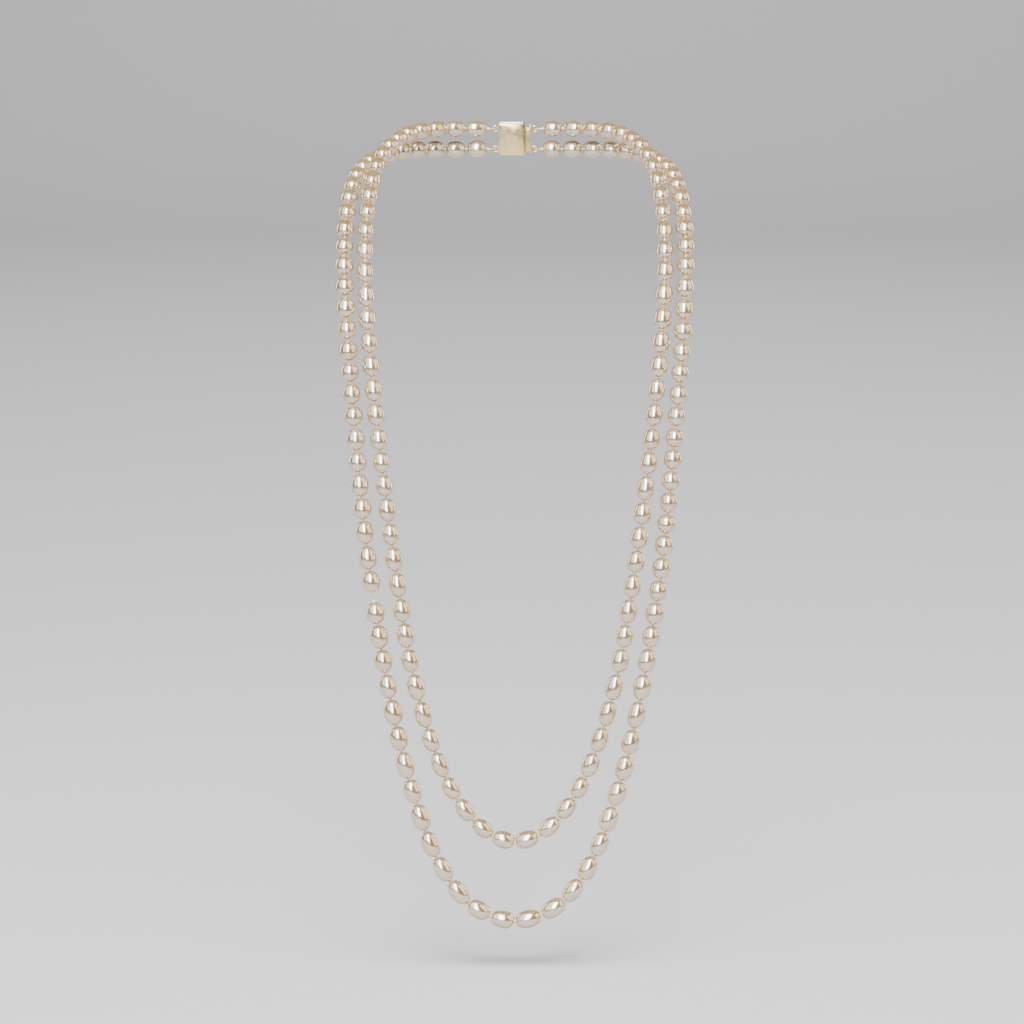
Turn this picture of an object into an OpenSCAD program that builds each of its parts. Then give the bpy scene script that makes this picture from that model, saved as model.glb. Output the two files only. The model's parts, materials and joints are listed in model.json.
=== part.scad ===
// Opera-length necklace: two rows of knotted oval pearls on silk, joined at the nape by a
// two-row push-in box clasp.
// Millimetres, +Z up, the wearer's front towards -Y. The origin is the middle of the neck at
// the height where the rows rest. Left and right are as seen from the front: left is -X.

/* [Rows] */
// Drop of the inner row's lowest point below the origin
inner_drop = 282.5; // [240:0.5:340]
// How much lower the outer row hangs
row_step = 33.3; // [26:0.1:48]
// Width of the inner row across the shoulders, between pearl centres
shoulder_w = 125.6; // [104:0.2:152]
// How far behind the origin the rows cross the nape
neck_back = 47; // [38:0.5:58]
// Free space between the two rows where they run closest
row_clear = 0.75; // [0.4:0.05:1.5]

/* [Pearls] */
// Mean width of the outer row's pearls
pearl_d = 7.6; // [6:0.1:9.4]
// Width of the inner row's pearls, as a share of the outer row's
inner_share = 0.95; // [0.85:0.01:1]
// Spread of the widths, as a share of the mean
width_spread = 0.035; // [0:0.005:0.04]
// Spread of the lengths, as a share of the mean
length_spread = 0.06; // [0:0.01:0.1]
// Knot-to-knot pitch of the shortest pearls, near the clasp
pitch_top = 9.4; // [7.8:0.05:11.4]
// Knot-to-knot pitch of the longest pearls, at the front
pitch_bottom = 11.4; // [9.4:0.05:13.7]
// How much narrower one end of a drop-shaped front pearl may be
drop_taper = 0.12; // [0:0.01:0.2]
// Diameter of the drilled hole
drill_d = 0.9; // [0.7:0.05:1.2]

/* [Silk] */
// Diameter of the silk thread
silk_d = 0.6; // [0.4:0.05:0.65]
// Width of a knot across the thread
knot_w = 1.4; // [1:0.05:1.8]
// Bare length between two pearls, which the knot fills
knot_gap = 1; // [0.8:0.05:1.4]
// Gap at the knots where the rows fold
fold_gap = 1.3; // [1.1:0.05:1.6]
// Diameter of a knot that a fold turns about
fold_knot_d = 0.9; // [0.7:0.05:1]
// Bare length at the one loose knot, on the outer row's left side
loose_gap = 4.4; // [1:0.1:6]

/* [Clasp] */
// Length of the closed clasp, from the box's end to the tongue's end plate
clasp_l = 14.1; // [13:0.1:18]
// Height of the box
box_h = 14; // [13:0.1:20]
// Depth of the box with its cover
box_d = 5.2; // [4.8:0.1:6.5]
// Wall of the box
wall_t = 0.6; // [0.4:0.05:0.8]
// Thickness of the tongue's base strip
tongue_t = 0.5; // [0.35:0.05:0.6]
// Thickness of the spring leaf
leaf_t = 0.4; // [0.25:0.05:0.5]
// Play between the tongue and the slot's edges
slot_play = 0.3; // [0.2:0.05:0.4]
// Wire of the eyelets
eyelet_wire = 0.7; // [0.5:0.05:0.8]
// Mean diameter of the eyelets
eyelet_d = 2.4; // [2.3:0.1:3]

/* [Hidden] */

PEARL_COLOUR = [0.93, 0.89, 0.81];
SILK_COLOUR = [0.93, 0.86, 0.68];
GOLD_COLOUR = [0.83, 0.66, 0.33];

// Which row, which stretch of it and which side
INNER = 0;
OUTER = 1;
NAPE = 0;
UPPER = 1;
MIDDLE = 2;
LOWER = 3;
LEFT = -1;
RIGHT = 1;

ROUND_FN = 48;
SILK_FN = 28;
PROFILE_STEPS = 12;
ROUTE_STEPS = 12;

// ---- The rows' routes ----
// Each route is the right half of a row, from the clasp over the shoulder and down to the
// middle of the front. Its points were chosen for these sizes, which the named ones stretch.
ROUTE_DROP = 282.5;
ROUTE_STEP = 33.3;
ROUTE_SHOULDER = 62.8;
ROUTE_BACK = 47;
ROUTE_START = 12;
ROUTE_SPACING = 8.6;
SHOULDER_Z = -26;
INNER_NAPE = [
    [12, 47, 3], [28, 43.5, 3.5], [42, 31, 4], [50.5, 15, 2.5], [57, -3, -2.5],
    [61, -20, -11.5], [62.8, -38, -26]
];
INNER_FRONT = [
    [63, -54, -45], [61, -66, -75], [57.6, -75.2, -108], [52.4, -83.2, -150],
    [47.8, -88.2, -182], [43, -91.2, -210], [35, -93.5, -240], [26, -95, -261],
    [14, -96, -276.5], [0, -96.5, -282.5]
];
OUTER_NAPE = [
    [12, 47, -6], [30, 46, -6], [46, 36.5, -5], [58, 19, -5.5], [65.8, -2, -8.5],
    [69.5, -19, -14], [71.5, -38, -26]
];
OUTER_FRONT = [
    [71.8, -53, -43.5], [69.6, -67.5, -79], [67.1, -75.2, -108], [63, -84.2, -150],
    [58.8, -88.8, -182], [54.4, -91.2, -210], [48.3, -94.6, -240], [42.2, -96.8, -263],
    [34.4, -98.5, -285.6], [23, -99.7, -304.6], [11, -100.4, -313.3], [0, -100.6, -315.8]
];
// Which route points the rows fold at: the shoulder, the chest and the lower front
INNER_MARKS = [0, 6, 9, 12, 16];
OUTER_MARKS = [0, 6, 9, 12, 18];
// How far the pitch has grown from its shortest to its longest, against the share of a half
// row, for the left and right side of each row. The pearls were strung roughly graded.
PITCH_GROWTH = [
    [
        [[0, 0], [0.28, 0.05], [0.34, 0.4], [0.5, 0.45], [0.7, 0.85], [0.78, 1], [0.86, 0.55], [1, 0.4]],
        [[0, 0], [0.28, 0.05], [0.34, 0.4], [0.5, 0.35], [0.6, 0.7], [0.84, 0.9], [0.9, 0.4], [1, 0.5]]
    ],
    [
        [[0, 0], [0.28, 0], [0.36, 0.1], [0.5, 0.2], [0.6, 0.6], [0.7, 0.8], [0.78, 1], [0.92, 1], [1, 0.6]],
        [[0, 0], [0.36, 0], [0.6, 0], [0.68, 0.6], [0.8, 1], [0.94, 1], [1, 0.6]]
    ]
];

clasp_z = -1.5;
// The rows never come closer than a widest pearl and the free space. At the clasp they are
// a little further apart.
ROUTE_EYELETS = 9;
row_spread = pearl_d * (1 + width_spread) + row_clear - ROUTE_SPACING;
eyelet_pitch = ROUTE_EYELETS + row_spread;

function spring_z(z, drop, route_drop) =
    z > SHOULDER_Z ? z : SHOULDER_Z + (z - SHOULDER_Z) * (drop + SHOULDER_Z) / (route_drop + SHOULDER_Z);

// A point of the nape, stretched to the neck's width and depth
function nape_point(p, start_x) = [
    start_x + (p.x - ROUTE_START) * (shoulder_w / 2 - start_x) / (ROUTE_SHOULDER - ROUTE_START),
    p.y > 0 ? p.y * neck_back / ROUTE_BACK : p.y,
    p.z
];

// A point of the front, stretched to the neck's width and the row's drop
function front_point(p, drop, route_drop) = [
    p.x * shoulder_w / 2 / ROUTE_SHOULDER,
    p.y,
    spring_z(p.z, drop, route_drop)
];

function mirrored(p) = [-p.x, p.y, p.z];

function cubic(a, b, c, d, t) =
    0.5 * (2 * b + (c - a) * t + (2 * a - 5 * b + 4 * c - d) * t * t
        + (3 * b - a - 3 * c + d) * t * t * t);

// A smooth line through the points, level and square to the middle at its last one
function smooth_line(points) =
    let (
        last = len(points) - 1,
        p = concat([2 * points[0] - points[1]], points, [mirrored(points[last - 1])])
    )
    concat(
        [for (i = [1:last]) for (k = [0:ROUTE_STEPS - 1])
            cubic(p[i - 1], p[i], p[i + 1], p[i + 2], k / ROUTE_STEPS)],
        [points[last]]
    );

// The running length along a line, or the running sum of a list
function running_sum(steps) =
    [for (i = 0, sum = 0; i <= len(steps); sum = sum + (i < len(steps) ? steps[i] : 0), i = i + 1) sum];

function line_lengths(line) =
    running_sum([for (i = [1:len(line) - 1]) norm(line[i] - line[i - 1])]);

// The point of a line that lies nearest to a place
function nearest(line, place) =
    let (far = [for (p = line) norm(p - place)])
    line[search(min(far), far)[0]];

// Moves the outer row's points away from the inner row by what wider pearls need
function pushed_out(points, inner_line) =
    [for (p = points) let (away = p - nearest(inner_line, p)) p + away / norm(away) * row_spread];

// A row as look-up tables of x, y and z against length, with the lengths at its marks
function row_table(line, marks) =
    let (s = line_lengths(line))
    [
        [for (i = [0:len(s) - 1]) [s[i], line[i].x]],
        [for (i = [0:len(s) - 1]) [s[i], line[i].y]],
        [for (i = [0:len(s) - 1]) [s[i], line[i].z]],
        [for (m = marks) s[m * ROUTE_STEPS]]
    ];

// ---- The clasp's places, in its own frame: X along it, Y out of the back, Z up ----
// Room for the thumb tab between the box and the tongue's end plate
TAB_ROOM = 2;
PLATE_T = 0.65;
PLATE_INSET = 0.4;
PLATE_CORNER = 0.2;
PLATE_DROP = 0.6;
COVER_T = 0.6;
COVER_LIP = 0.2;
PANEL_INSET = 1.2;
PANEL_RISE = 0.35;
CORNER_R = 1.2;
// How far a cutter runs past what it cuts
CUT = 1;
// Free space round the tongue inside the box: below it, at its sides and before its fold
TONGUE_UNDER = 0.5;
TONGUE_SIDE = 1.2;
FOLD_ROOM = 0.65;
FOLD_RISE = 0.3;
LEAF_INSET = 0.6;
// The slot's edges: its sill, and how far above the fold the pressed leaf passes
SLOT_SILL = 0.05;
LEAF_PASS = 1.05;
box_x0 = -clasp_l / 2;
plate_x0 = clasp_l / 2 - PLATE_T;
box_x1 = plate_x0 - TAB_ROOM;
floor_y = -box_d / 2;
inside_y0 = floor_y + wall_t;
inside_y1 = box_d / 2 - COVER_T;
inside_h = box_h - 2 * wall_t;
tongue_y0 = inside_y0 + TONGUE_UNDER;
tongue_y1 = tongue_y0 + tongue_t;
tongue_h = inside_h - 2 * TONGUE_SIDE;
leaf_h = tongue_h - 2 * LEAF_INSET;
// The fold that the leaf springs about
FOLD_R = 0.5;
FOLD_PLAY = 0.06;
fold_x = box_x0 + wall_t + FOLD_ROOM + FOLD_R;
fold_y = tongue_y1 + FOLD_RISE;
LEAF_RISE = 12;
LIP_PLAY = 0.25;
leaf_l = (box_x1 - wall_t - LIP_PLAY - fold_x) / cos(LEAF_RISE);
slot_y0 = tongue_y0 - slot_play + SLOT_SILL;
slot_y1 = fold_y + LEAF_PASS;
NECK_W = 2.6;
TAB_T = 0.5;
TAB_W = 4.4;
TAB_PLAY = 0.55;
TAB_STAND = 0.7;
tab_x0 = box_x1 + TAB_PLAY;
tab_top = box_d / 2 + TAB_STAND;
// Eyelets and the bullion loops through them
POST_L = 0.45;
BULLION_D = 0.76;
BULLION_BORE = 0.52;
LOOP_SILK_D = 0.44;
BULLION_PLAY = 0.37;
MOUTH_ANGLE = 76;
FIRST_KNOT = 1.1;
bullion_r = eyelet_wire / 2 + BULLION_D / 2 + BULLION_PLAY;
eyelet_x = clasp_l / 2 + eyelet_d / 2 + eyelet_wire / 2;
bullion_x = eyelet_x + eyelet_d / 2;
row_start_x = bullion_x + bullion_r + FIRST_KNOT;

inner_points = concat(
    [for (p = INNER_NAPE) nape_point(p, row_start_x)],
    [for (p = INNER_FRONT) front_point(p, inner_drop, ROUTE_DROP)]
);
outer_chosen = concat(
    [for (p = OUTER_NAPE) nape_point(p, row_start_x)],
    [for (p = OUTER_FRONT) front_point(p, inner_drop + row_step, ROUTE_DROP + ROUTE_STEP)]
);
inner_line = smooth_line(inner_points);
outer_line = smooth_line(pushed_out(outer_chosen, inner_line));
ROWS = [row_table(inner_line, INNER_MARKS), row_table(outer_line, OUTER_MARKS)];

// ---- Pearls and knots along a row ----
// The knot, counted from the chest fold, that has slipped down to the pearl below it
LOOSE_KNOT = 7;
// How much of the bare length a knot fills
KNOT_FILL = 0.82;
// The mean and the spread of the taper, as shares of the largest
TAPER_MEAN = 0.4;
TAPER_SPREAD = 0.6;
SEED = 37.3;

function on_row(r, s, side) =
    [side * lookup(s, ROWS[r][0]), lookup(s, ROWS[r][1]), lookup(s, ROWS[r][2])];

function share_of_half(r, s) = s / ROWS[r][3][LOWER + 1];

function growth(r, side, t) = lookup(t, PITCH_GROWTH[r][side == LEFT ? 0 : 1]);

function pitch_at(r, side, t) = pitch_top + (pitch_bottom - pitch_top) * growth(r, side, t);

function stretch_length(r, g) = ROWS[r][3][g + 1] - ROWS[r][3][g];

// The share of the half row that lies before a part of one stretch
function share_at(r, g, part) = share_of_half(r, ROWS[r][3][g] + stretch_length(r, g) * part);

function loose_extra(r, g, side) =
    r == OUTER && g == MIDDLE && side == LEFT ? loose_gap - knot_gap : 0;

// As many pearls as fit a stretch at its mean pitch, read at three even places
function pearl_count(r, g, side) =
    let (pitches = [for (part = [1 / 6, 1 / 2, 5 / 6]) pitch_at(r, side, share_at(r, g, part))])
    round((stretch_length(r, g) - loose_extra(r, g, side)) * 3 / running_sum(pitches)[3]);

// An even scatter between -1 and 1, always the same for the same number
function scatter(n) =
    let (v = 1000 * sin(n * SEED))
    2 * (v - floor(v)) - 1;

function pearl_number(r, g, side, i) = 1 + 400 * r + 100 * g + 25 * (side + 1) + i;

function is_fold(r, g, side, i) =
    (i == 0 && g != NAPE) || (i == pearl_count(r, g, side) && g != LOWER);

function is_loose(r, g, side, i) = r == OUTER && g == MIDDLE && side == LEFT && i == LOOSE_KNOT;

// The bare lengths from the pearl before a knot to its middle, and on to the next pearl
function room_after(r, g, side, i) = (is_fold(r, g, side, i) ? fold_gap : knot_gap) / 2;

function room_before(r, g, side, i) =
    is_loose(r, g, side, i) ? loose_gap - knot_gap / 2 : room_after(r, g, side, i);

// The lengths along the row at which a stretch's knots sit
function knot_lengths(r, g, side) =
    let (
        n = pearl_count(r, g, side),
        start = ROWS[r][3][g],
        wishes = [for (i = [0:n - 1])
            pitch_at(r, side, share_at(r, g, (i + 0.5) / n))
                * (1 + length_spread * scatter(pearl_number(r, g, side, i)))],
        bare = [for (i = [0:n - 1]) room_after(r, g, side, i) + room_before(r, g, side, i + 1)],
        scale = (stretch_length(r, g) - running_sum(bare)[n]) / running_sum(wishes)[n]
    )
    [for (s = running_sum([for (i = [0:n - 1]) wishes[i] * scale + bare[i]])) start + s];

function knot_places(r, g, side) =
    [for (s = knot_lengths(r, g, side)) on_row(r, s, side)];

// Turns children from +Z to the line from a to b, with their origin at a
module along(a, b) {
    d = b - a;
    translate(a)
        rotate([0, acos(d.z / norm(d)), atan2(d.y, d.x)])
            children();
}

// One drilled oval pearl from z = 0 up, narrower at its lower end by the taper
module pearl(length, width, taper) {
    outline = [for (k = [0:PROFILE_STEPS])
        let (turn = 180 * k / PROFILE_STEPS)
        [
            max(drill_d / 2, width / 2 * sin(turn) * (1 - taper * cos(turn))),
            length / 2 * (1 - cos(turn))
        ]];
    rotate_extrude($fn = ROUND_FN)
        polygon(outline);
}

// The pearls of one stretch of a row on one side
module pearl_stretch(r, g, side) {
    knots = knot_places(r, g, side);
    n = pearl_count(r, g, side);
    mean_d = pearl_d * (r == INNER ? inner_share : 1);
    for (i = [0:n - 1]) {
        number = pearl_number(r, g, side, i);
        front = growth(r, side, share_at(r, g, (i + 0.5) / n));
        before = room_after(r, g, side, i);
        after = room_before(r, g, side, i + 1);
        along(knots[i], knots[i + 1])
            translate([0, 0, before])
                pearl(
                    norm(knots[i + 1] - knots[i]) - before - after,
                    mean_d * (1 + width_spread * scatter(number + 0.4)),
                    drop_taper * front * (TAPER_MEAN + TAPER_SPREAD * scatter(number + 0.7))
                );
    }
}

// A knot between two pearls, with its flat faces square to the thread
module knot(place, ahead) {
    along(place, ahead)
        intersection() {
            sphere(d = knot_w, $fn = SILK_FN);
            cube([knot_w, knot_w, KNOT_FILL * knot_gap], center = true);
        }
}

// A round knot lying across the row, which a fold turns about
module fold_knot(place) {
    translate(place)
        rotate([0, 90, 0])
            cylinder(d = fold_knot_d, h = knot_w, center = true, $fn = SILK_FN);
}

// The silk of one stretch on one side, with its knots. A fold knot belongs to the stretch
// that says so, and the silk on its other side starts clear of it, inside the next pearl.
module silk_stretch(r, g, side, knot_at_start, knot_at_end) {
    knots = knot_places(r, g, side);
    n = pearl_count(r, g, side);
    for (i = [0:n - 1]) {
        trim0 = i == 0 && !knot_at_start ? fold_gap / 2 : 0;
        trim1 = i == n - 1 && !knot_at_end ? fold_gap / 2 : 0;
        along(knots[i], knots[i + 1])
            translate([0, 0, trim0])
                cylinder(d = silk_d, h = norm(knots[i + 1] - knots[i]) - trim0 - trim1, $fn = SILK_FN);
    }
    for (i = [1:n - 1])
        knot(knots[i], knots[i + 1]);
    if (knot_at_start && g != NAPE)
        fold_knot(knots[0]);
    if (knot_at_end && g != LOWER)
        fold_knot(knots[n]);
}

// The silk's loop round the eyelet and the first knot of a row
module end_loop(r, side) {
    start = knot_places(r, NAPE, side)[0];
    translate([side * bullion_x, start.y, start.z])
        rotate_extrude($fn = SILK_FN)
            translate([bullion_r, 0])
                circle(d = LOOP_SILK_D, $fn = SILK_FN);
    translate([side * (bullion_x + bullion_r), start.y, start.z])
        rotate([0, side * 90, 0])
            cylinder(d = silk_d, h = row_start_x - bullion_x - bullion_r, $fn = SILK_FN);
    knot(start, start + [side, 0, 0]);
}

module pearls(r, g, side) {
    color(PEARL_COLOUR)
        pearl_stretch(r, g, side);
}

module lower_pearls(r) {
    color(PEARL_COLOUR)
        for (side = [LEFT, RIGHT])
            pearl_stretch(r, LOWER, side);
}

module nape_silk(r, side) {
    color(SILK_COLOUR) {
        silk_stretch(r, NAPE, side, true, side == LEFT);
        end_loop(r, side);
    }
}

module silk(r, g, side, knot_at_start) {
    color(SILK_COLOUR)
        silk_stretch(r, g, side, knot_at_start, true);
}

module lower_silk(r) {
    middle = on_row(r, ROWS[r][3][LOWER + 1], RIGHT);
    color(SILK_COLOUR) {
        for (side = [LEFT, RIGHT])
            silk_stretch(r, LOWER, side, false, true);
        knot(middle, middle + [1, 0, 0]);
    }
}

// ---- The clasp ----
module clasp_frame() {
    translate([0, neck_back, clasp_z])
        children();
}

// A rectangle in X and Z with round corners, as thick as y0 to y1
module rounded_slab(x0, x1, height, corner, y0, y1) {
    length = x1 - x0;
    translate([(x0 + x1) / 2, y1, 0])
        rotate([90, 0, 0])
            linear_extrude(y1 - y0) {
                square([length - 2 * corner, height], center = true);
                square([length, height - 2 * corner], center = true);
                for (sx = [-1, 1])
                    for (sz = [-1, 1])
                        translate([sx * (length / 2 - corner), sz * (height / 2 - corner)])
                            circle(corner, $fn = ROUND_FN);
            }
}

module block(x0, x1, y0, y1, height) {
    translate([x0, y0, -height / 2])
        cube([x1 - x0, y1 - y0, height]);
}

// The open tray of the box, with the tongue's slot and the thumb tab's notch in its end wall
module clasp_box() {
    notch_w = NECK_W + 3 * slot_play;
    color(GOLD_COLOUR)
        clasp_frame()
            difference() {
                rounded_slab(box_x0, box_x1, box_h, CORNER_R, floor_y, inside_y1);
                rounded_slab(box_x0 + wall_t, box_x1 - wall_t, inside_h, CORNER_R - wall_t, inside_y0, box_d);
                block(box_x1 - 2 * wall_t, box_x1 + CUT, slot_y0, slot_y1, tongue_h + 2 * slot_play);
                block(box_x1 - 2 * wall_t, box_x1 + CUT, slot_y0, box_d, notch_w);
            }
}

// The cover plate that closes the tray, with a raised panel on it
module clasp_cover() {
    color(GOLD_COLOUR)
        clasp_frame() {
            rounded_slab(
                box_x0 - COVER_LIP, box_x1 + COVER_LIP, box_h + 2 * COVER_LIP, CORNER_R + COVER_LIP,
                inside_y1, box_d / 2
            );
            rounded_slab(
                box_x0 + PANEL_INSET, box_x1 - PANEL_INSET, box_h - 2 * PANEL_INSET, CORNER_R,
                box_d / 2 - COVER_T / 2, box_d / 2 + PANEL_RISE
            );
        }
}

// Two wire rings on posts, one for each row
module eyelets(side) {
    color(GOLD_COLOUR)
        clasp_frame()
            for (level = [-1, 1])
                translate([side * eyelet_x, 0, level * eyelet_pitch / 2]) {
                    rotate([90, 0, 0])
                        rotate_extrude($fn = ROUND_FN)
                            translate([eyelet_d / 2, 0])
                                circle(d = eyelet_wire, $fn = ROUND_FN);
                    translate([-side * (eyelet_x - clasp_l / 2), 0, 0])
                        rotate([0, side * 90, 0])
                            cylinder(d = eyelet_wire, h = POST_L, $fn = ROUND_FN);
                }
}

// The coiled wire tubes that sheathe the silk where it loops through the eyelets
module bullion(side) {
    color(GOLD_COLOUR)
        clasp_frame()
            for (level = [-1, 1])
                translate([side * bullion_x, 0, level * eyelet_pitch / 2])
                    rotate([0, 0, (side == RIGHT ? 0 : 180) + MOUTH_ANGLE / 2])
                        rotate_extrude(angle = 360 - MOUTH_ANGLE, $fn = ROUND_FN)
                            translate([bullion_r, 0])
                                difference() {
                                    circle(d = BULLION_D, $fn = ROUND_FN);
                                    circle(d = BULLION_BORE, $fn = ROUND_FN);
                                }
}

// The flat tongue: its base strip, the bead at its fold and its end plate
module tongue_plate() {
    color(GOLD_COLOUR)
        clasp_frame() {
            block(fold_x, plate_x0 + PLATE_T / 2, tongue_y0, tongue_y1, tongue_h);
            translate([fold_x, fold_y, -leaf_h / 2])
                cylinder(r = FOLD_R, h = leaf_h, $fn = ROUND_FN);
            rounded_slab(
                plate_x0, plate_x0 + PLATE_T, box_h - 2 * PLATE_INSET, PLATE_CORNER,
                floor_y, box_d / 2 - PLATE_DROP
            );
        }
}

// The spring leaf rising from the fold, and the narrow neck that leads out to the thumb tab.
// The neck's end is cut square to the tab's face, which it meets.
module spring_leaf() {
    neck_end = (tab_x0 - fold_x) / cos(LEAF_RISE) + leaf_t;
    color(GOLD_COLOUR)
        clasp_frame()
            difference() {
                translate([fold_x, fold_y, 0])
                    rotate([0, 0, LEAF_RISE]) {
                        block(FOLD_R + FOLD_PLAY, leaf_l, -leaf_t / 2, leaf_t / 2, leaf_h);
                        block(leaf_l - leaf_t, neck_end, -leaf_t / 2, leaf_t / 2, NECK_W);
                    }
                block(tab_x0, tab_x0 + CUT, floor_y, tab_top, box_h);
            }
}

// The thumb tab, a rounded plate standing out of the clasp's back
module thumb_tab() {
    tab_bottom = fold_y + (tab_x0 - fold_x) * tan(LEAF_RISE) - leaf_t;
    color(GOLD_COLOUR)
        clasp_frame() {
            block(tab_x0, tab_x0 + TAB_T, tab_bottom, tab_top - TAB_W / 4, TAB_W);
            translate([tab_x0, tab_top - TAB_W / 4, 0])
                rotate([0, 90, 0])
                    intersection() {
                        cylinder(d = TAB_W, h = TAB_T, $fn = ROUND_FN);
                        translate([-TAB_W / 2, -TAB_T / 2, 0])
                            cube([TAB_W, TAB_W / 4 + TAB_T / 2, TAB_T]);
                    }
        }
}

clasp_box();
clasp_cover();
eyelets(LEFT);  // box_eyelets
bullion(LEFT);  // box_bullion
tongue_plate();
eyelets(RIGHT);  // tongue_eyelets
bullion(RIGHT);  // tongue_bullion
spring_leaf();
thumb_tab();
pearls(INNER, NAPE, LEFT);  // inner_nape_left_pearls
nape_silk(INNER, LEFT);  // inner_nape_left_silk
pearls(INNER, NAPE, RIGHT);  // inner_nape_right_pearls
nape_silk(INNER, RIGHT);  // inner_nape_right_silk
pearls(INNER, UPPER, LEFT);  // inner_upper_left_pearls
silk(INNER, UPPER, LEFT, false);  // inner_upper_left_silk
pearls(INNER, UPPER, RIGHT);  // inner_upper_right_pearls
silk(INNER, UPPER, RIGHT, true);  // inner_upper_right_silk
pearls(INNER, MIDDLE, LEFT);  // inner_middle_left_pearls
silk(INNER, MIDDLE, LEFT, false);  // inner_middle_left_silk
pearls(INNER, MIDDLE, RIGHT);  // inner_middle_right_pearls
silk(INNER, MIDDLE, RIGHT, false);  // inner_middle_right_silk
lower_pearls(INNER);  // inner_lower_pearls
lower_silk(INNER);  // inner_lower_silk
pearls(OUTER, NAPE, LEFT);  // outer_nape_left_pearls
nape_silk(OUTER, LEFT);  // outer_nape_left_silk
pearls(OUTER, NAPE, RIGHT);  // outer_nape_right_pearls
nape_silk(OUTER, RIGHT);  // outer_nape_right_silk
pearls(OUTER, UPPER, LEFT);  // outer_upper_left_pearls
silk(OUTER, UPPER, LEFT, false);  // outer_upper_left_silk
pearls(OUTER, UPPER, RIGHT);  // outer_upper_right_pearls
silk(OUTER, UPPER, RIGHT, true);  // outer_upper_right_silk
pearls(OUTER, MIDDLE, LEFT);  // outer_middle_left_pearls
silk(OUTER, MIDDLE, LEFT, false);  // outer_middle_left_silk
pearls(OUTER, MIDDLE, RIGHT);  // outer_middle_right_pearls
silk(OUTER, MIDDLE, RIGHT, false);  // outer_middle_right_silk
lower_pearls(OUTER);  // outer_lower_pearls
lower_silk(OUTER);  // outer_lower_silk
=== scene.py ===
# %% [markdown]
# # A two-row pearl necklace
# The necklace is about 170 drilled pearls on knotted silk, closed at the nape by a small gold
# box clasp. The solid model already says where every pearl, thread and clasp piece is, so this
# file starts from that fixed frame and gives each piece its real surface.

import json
import math

import bmesh
import bpy
from mathutils import Matrix, Vector, noise


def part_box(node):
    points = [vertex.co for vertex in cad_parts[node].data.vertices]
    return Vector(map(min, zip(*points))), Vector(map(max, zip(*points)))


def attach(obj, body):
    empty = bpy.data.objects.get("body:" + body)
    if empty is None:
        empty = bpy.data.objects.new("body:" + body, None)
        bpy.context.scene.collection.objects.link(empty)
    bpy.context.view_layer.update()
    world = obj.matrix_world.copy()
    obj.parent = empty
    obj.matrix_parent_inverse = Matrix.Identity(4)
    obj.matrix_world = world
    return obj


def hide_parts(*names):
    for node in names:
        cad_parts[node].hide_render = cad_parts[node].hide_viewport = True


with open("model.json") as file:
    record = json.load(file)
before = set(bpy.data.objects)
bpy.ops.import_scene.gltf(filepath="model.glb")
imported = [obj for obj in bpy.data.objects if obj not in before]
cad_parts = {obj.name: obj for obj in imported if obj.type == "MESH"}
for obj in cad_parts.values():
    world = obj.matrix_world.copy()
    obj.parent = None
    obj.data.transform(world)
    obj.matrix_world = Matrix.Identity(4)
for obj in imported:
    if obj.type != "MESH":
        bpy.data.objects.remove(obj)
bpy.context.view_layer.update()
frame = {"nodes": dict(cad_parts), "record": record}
MM = 0.001

# %% [markdown]
# ## Where the camera stands
# A necklace is shot with a long lens from a little above, so that its rows keep their shape. The
# camera is placed first, from an aim point on the front of the chest, a distance and a height
# angle. The lens follows from how tall a field the picture takes in at that distance.

# %% Place the camera
VIEW_TILT = math.radians(12)
VIEW_DISTANCE = 1.7
FIELD = 0.430
SENSOR = 36
aim = Vector((-1.3 * MM, -75 * MM, -144.2 * MM))


def add_camera():
    camera = bpy.data.objects.new("camera", bpy.data.cameras.new("camera"))
    bpy.context.scene.collection.objects.link(camera)
    camera.data.sensor_width = SENSOR
    camera.data.lens = SENSOR * VIEW_DISTANCE / FIELD
    camera.location = aim - VIEW_DISTANCE * Vector((0, math.cos(VIEW_TILT), -math.sin(VIEW_TILT)))
    camera.rotation_euler = (math.pi / 2 - VIEW_TILT, 0, 0)
    bpy.context.scene.camera = camera
    return camera


camera = add_camera()
print("camera:", round(camera.data.lens, 1), "mm lens at", [round(c, 3) for c in camera.location])

# %% [markdown]
# ## Building finishes from nodes
# Each finish below is a small node tree. These helpers add a node, set its inputs and join it,
# so that a finish reads as a short list of what it is made of.


# %% Finish helpers
def new_finish(name):
    material = bpy.data.materials.new(name)
    material.use_nodes = True
    return material, material.node_tree, material.node_tree.nodes["Principled BSDF"]


def set_inputs(node, inputs):
    for key, value in inputs.items():
        node.inputs[key].default_value = value


def add_node(tree, kind, settings=(), **inputs):
    node = tree.nodes.new(kind)
    for key, value in dict(settings).items():
        setattr(node, key, value)
    set_inputs(node, inputs)
    return node


def join(tree, source, target):
    tree.links.new(source, target)


def add_noise(tree, place, **inputs):
    texture = add_node(tree, "ShaderNodeTexNoise", **inputs)
    join(tree, place, texture.inputs["Vector"])
    return texture.outputs["Fac"]


def stretch(tree, place, scale):
    mapping = add_node(tree, "ShaderNodeMapping", Scale=scale)
    join(tree, place, mapping.inputs["Vector"])
    return mapping.outputs["Vector"]


def add_ramp(tree, factor, *stops):
    ramp = add_node(tree, "ShaderNodeValToRGB")
    elements = ramp.color_ramp.elements
    while len(elements) < len(stops):
        elements.new(0.5)
    for element, (place, colour) in zip(elements, stops):
        element.position = place
        element.color = (*colour, 1)
    join(tree, factor, ramp.inputs["Fac"])
    return ramp.outputs["Color"]


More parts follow.
